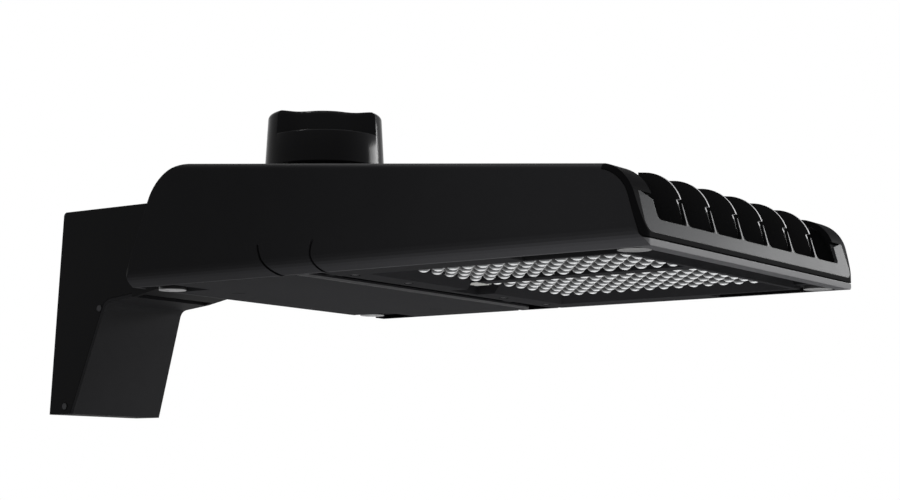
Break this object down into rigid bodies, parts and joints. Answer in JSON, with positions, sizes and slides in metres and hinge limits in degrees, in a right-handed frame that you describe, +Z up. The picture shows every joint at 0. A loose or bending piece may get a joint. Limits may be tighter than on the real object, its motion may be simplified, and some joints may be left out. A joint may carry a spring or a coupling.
{
  "type": "shoebox area light",
  "caption": "Wedge-shaped LED area light on a short bolted pole arm, with a hinged driver door, twin lens banks, a finned nose and a twist-lock shorting cap.",
  "frame": {"origin": "centre of the pole bolt pattern on the arm's pole face", "axes": "+X out from the pole towards the nose, +Y to the left seen from the pole, +Z up"},
  "size_m": [0.58, 0.306, 0.2169],
  "materials": {
    "arm_paint": "satin dark powder coat on cast aluminium",
    "cover_paint": "satin dark powder coat on sheet",
    "housing_paint": "satin black powder coat on cast aluminium",
    "nose_black": "satin black powder coat on cast aluminium",
    "fin_black": "satin black powder coat on cast aluminium",
    "face_grey": "satin grey paint",
    "door_paint": "satin dark powder coat on cast aluminium",
    "zinc": "zinc-plated steel",
    "screw_steel": "stainless steel",
    "screw_black": "blackened steel",
    "rubber_black": "matt black rubber",
    "silicone": "matt pale silicone",
    "board": "white solder mask with pale LED packages",
    "optic": "clear moulded acrylic bubbles",
    "connector": "white nylon",
    "lead_red": "red wire insulation",
    "lead_black": "black wire insulation",
    "driver_case": "white painted case",
    "surge_case": "green potted case",
    "block_nylon": "natural nylon",
    "brass": "plain brass",
    "ground_green": "green ground screw",
    "receptacle_grey": "matt dark grey plastic",
    "cap_black": "glossy black plastic",
    "cap_base_black": "matt black plastic"
  },
  "bodies": {
    "fixture": {"pole_arm": "arm_paint", "arm_cover": "cover_paint", "arm_cover_screws": "screw_black", "arm_gasket": "rubber_black", "arm_bolts": "screw_steel", "housing": "housing_paint", "nose_frame": "nose_black", "nose_frame_screws": "screw_steel", "nose_plate": "face_grey", "heat_sink": "fin_black", "heat_sink_screws": "screw_steel", "engine_bezel": "door_paint", "bezel_screws": "screw_steel", "corner_screws": "zinc", "led_board_near": "board", "led_board_far": "board", "optic_near": "optic", "optic_far": "optic", "optic_gaskets": "silicone", "led_connector": "connector", "led_leads": "lead_red", "lead_grommet": "rubber_black", "hinge_pins": "zinc", "led_driver": "driver_case", "driver_screws": "screw_steel", "surge_protector": "surge_case", "terminal_block": "block_nylon", "terminal_screws": "brass", "ground_screw": "ground_green", "control_leads": "lead_black", "receptacle": "receptacle_grey", "receptacle_gasket": "rubber_black", "receptacle_screws": "screw_steel", "receptacle_contacts": "brass"},
    "door": {"driver_door": "door_paint", "thumbscrew_clips": "screw_steel"},
    "thumbscrew_near": {"thumbscrew_near": "zinc"},
    "thumbscrew_far": {"thumbscrew_far": "zinc"},
    "cap": {"shorting_cap": "cap_black", "cap_base": "cap_base_black", "cap_blades": "brass", "cap_seal": "rubber_black"}
  },
  "joints": [
    {"name": "door_hinge", "type": "hinge", "parent": "fixture", "child": "door", "pos_m": [0.3283, 0, 0.008], "axis": [0, -1, 0], "range_deg": [0, 85]},
    {"name": "thumbscrew_near_turn", "type": "hinge", "parent": "door", "child": "thumbscrew_near", "pos_m": [0.189, -0.116, 0], "axis": [0, 0, 1], "continuous": true},
    {"name": "thumbscrew_far_turn", "type": "hinge", "parent": "door", "child": "thumbscrew_far", "pos_m": [0.189, 0.116, 0], "axis": [0, 0, 1], "continuous": true},
    {"name": "cap_twist", "type": "hinge", "parent": "fixture", "child": "cap", "pos_m": [0.231, 0, 0.08818], "axis": [0, 0, 1], "range_deg": [0, 35]}
  ]
}
